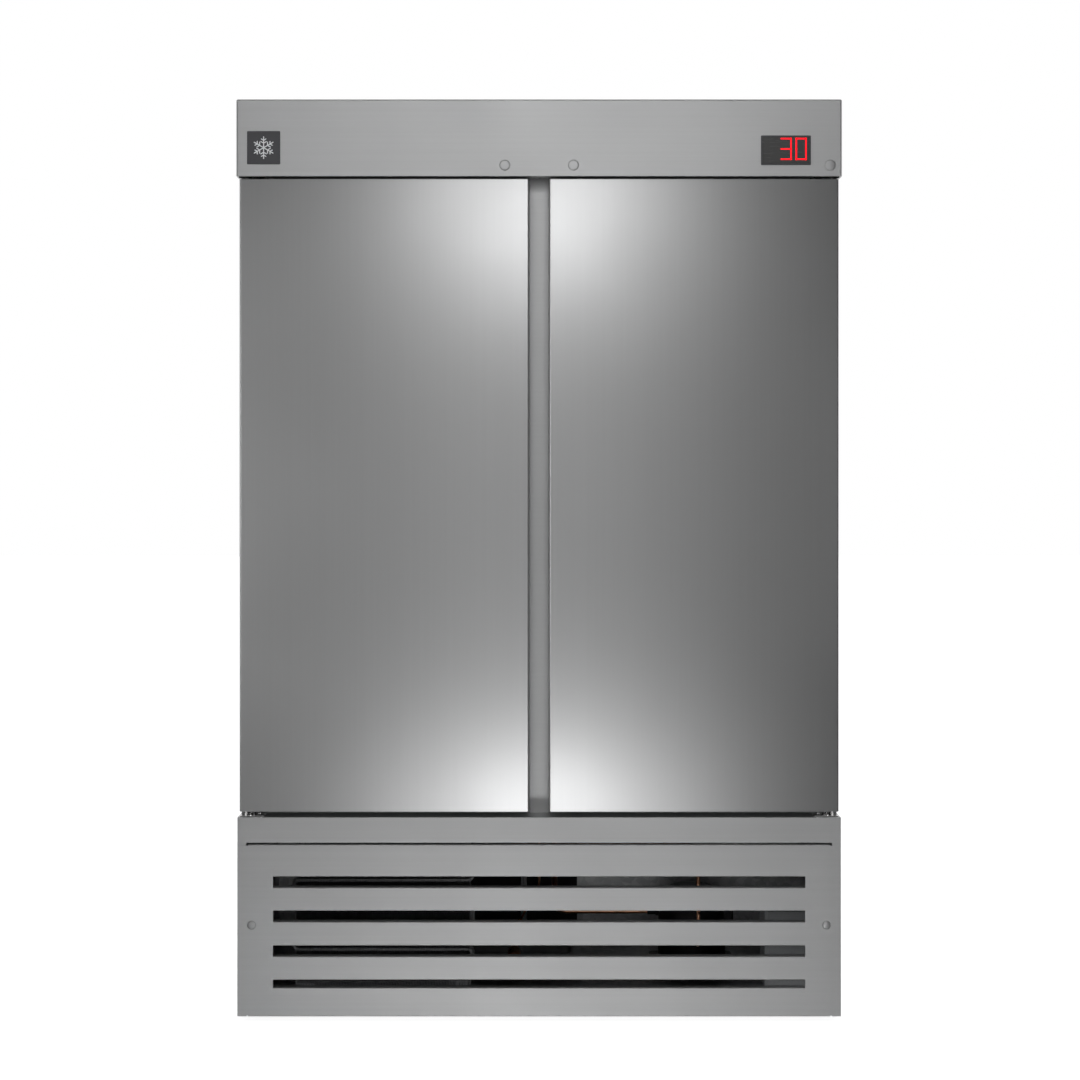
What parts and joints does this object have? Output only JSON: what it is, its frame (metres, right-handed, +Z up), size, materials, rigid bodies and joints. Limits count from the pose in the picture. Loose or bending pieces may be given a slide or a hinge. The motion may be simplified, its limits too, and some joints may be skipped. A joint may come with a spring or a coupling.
{
  "type": "reach-in refrigerator",
  "caption": "Stainless two-door upright reach-in refrigerator with header display, louvred base panel and bottom-mounted condensing unit.",
  "frame": {"origin": "on the floor, at the centre of the cabinet's footprint", "axes": "+Z up, +Y towards the back, +X to the right seen from the front"},
  "size_m": [1.37, 0.81, 2.086],
  "materials": {
    "satin_steel": "satin ground stainless sheet, soft horizontal grain",
    "door_steel": "brushed stainless sheet, smoother and brighter than the cabinet",
    "bright_steel": "turned and polished steel",
    "liner_steel": "mill-finish stainless liner",
    "galvanised": "galvanised sheet with a faint spangle",
    "cap_metal": "dull plated steel",
    "coil_aluminium": "plain aluminium fins",
    "copper": "drawn copper pipe, slightly tarnished",
    "black_paint": "semi-gloss black enamel",
    "white_paint": "white powder coat",
    "shelf_wire": "pale epoxy-coated wire",
    "black_plastic": "fine-textured black plastic",
    "grey_plastic": "mid-grey moulded plastic",
    "white_plastic": "vacuum-formed off-white sheet",
    "lamp_plastic": "translucent lamp cover",
    "display_glass": "dark window over red digits",
    "gasket_grey": "soft grey vinyl gasket",
    "rubber_black": "black rubber",
    "foam": "rigid polyurethane foam"
  },
  "bodies": {
    "cabinet": {"side_skins": "satin_steel", "rear_skin": "galvanised", "top_skin": "satin_steel", "bottom_pan": "galvanised", "insulation": "foam", "liner_sides": "liner_steel", "liner_rear": "liner_steel", "liner_ceiling": "liner_steel", "liner_floor": "liner_steel", "frame_stiles": "satin_steel", "frame_rails": "satin_steel", "mullion_post": "satin_steel", "header_panel": "satin_steel", "header_caps": "cap_metal", "display_controller": "black_plastic", "display_window": "display_glass", "badge_plate": "black_plastic", "sill_rail": "satin_steel", "base_corners": "satin_steel", "grille_panel": "satin_steel", "grille_screws": "cap_metal", "base_floor": "galvanised", "levelling_feet": "cap_metal", "rear_grille": "galvanised", "compressor": "black_paint", "compressor_mounts": "rubber_black", "condenser_coil": "coil_aluminium", "condenser_shroud": "galvanised", "condenser_fan_motor": "black_paint", "electrical_box": "grey_plastic", "filter_drier": "copper", "refrigerant_lines": "copper", "evaporation_pan": "grey_plastic", "cord_gland": "black_plastic", "evaporator_cover": "white_paint", "evaporator_coil": "coil_aluminium", "evaporator_fan_motors": "black_paint", "drain_tube": "grey_plastic", "interior_lamp": "lamp_plastic", "shelves_left": "shelf_wire", "shelves_right": "shelf_wire", "shelf_pilasters": "liner_steel", "shelf_clips": "cap_metal", "hinge_brackets_bottom": "bright_steel", "hinge_brackets_top": "bright_steel"},
    "door_left": {"door_skin_left": "door_steel", "door_core_left": "foam", "door_liner_left": "white_plastic", "door_grip_left": "bright_steel", "door_gasket_left": "gasket_grey", "door_bushes_left": "black_plastic"},
    "door_right": {"door_skin_right": "door_steel", "door_core_right": "foam", "door_liner_right": "white_plastic", "door_grip_right": "bright_steel", "door_gasket_right": "gasket_grey", "door_bushes_right": "black_plastic"},
    "condenser_fan": {"condenser_fan": "coil_aluminium"},
    "evaporator_fan_left": {"evaporator_fan_left": "black_plastic"},
    "evaporator_fan_right": {"evaporator_fan_right": "black_plastic"}
  },
  "joints": [
    {"name": "door_left_hinge", "type": "hinge", "parent": "cabinet", "child": "door_left", "pos_m": [-0.655, -0.377, 1.19], "axis": [0, 0, -1], "range_deg": [0, 120], "stiffness_Nm_per_rad": 1.2, "springref_deg": -11.46},
    {"name": "door_right_hinge", "type": "hinge", "parent": "cabinet", "child": "door_right", "pos_m": [0.655, -0.377, 1.19], "axis": [0, 0, 1], "range_deg": [0, 120], "stiffness_Nm_per_rad": 1.2, "springref_deg": -11.46},
    {"name": "condenser_fan_spin", "type": "hinge", "parent": "cabinet", "child": "condenser_fan", "pos_m": [-0.36, -0.197, 0.22], "axis": [0, 1, 0], "continuous": true},
    {"name": "evaporator_fan_left_spin", "type": "hinge", "parent": "cabinet", "child": "evaporator_fan_left", "pos_m": [-0.19, -0.02, 1.9], "axis": [0, 0, 1], "continuous": true},
    {"name": "evaporator_fan_right_spin", "type": "hinge", "parent": "cabinet", "child": "evaporator_fan_right", "pos_m": [0.19, -0.02, 1.9], "axis": [0, 0, 1], "continuous": true}
  ]
}
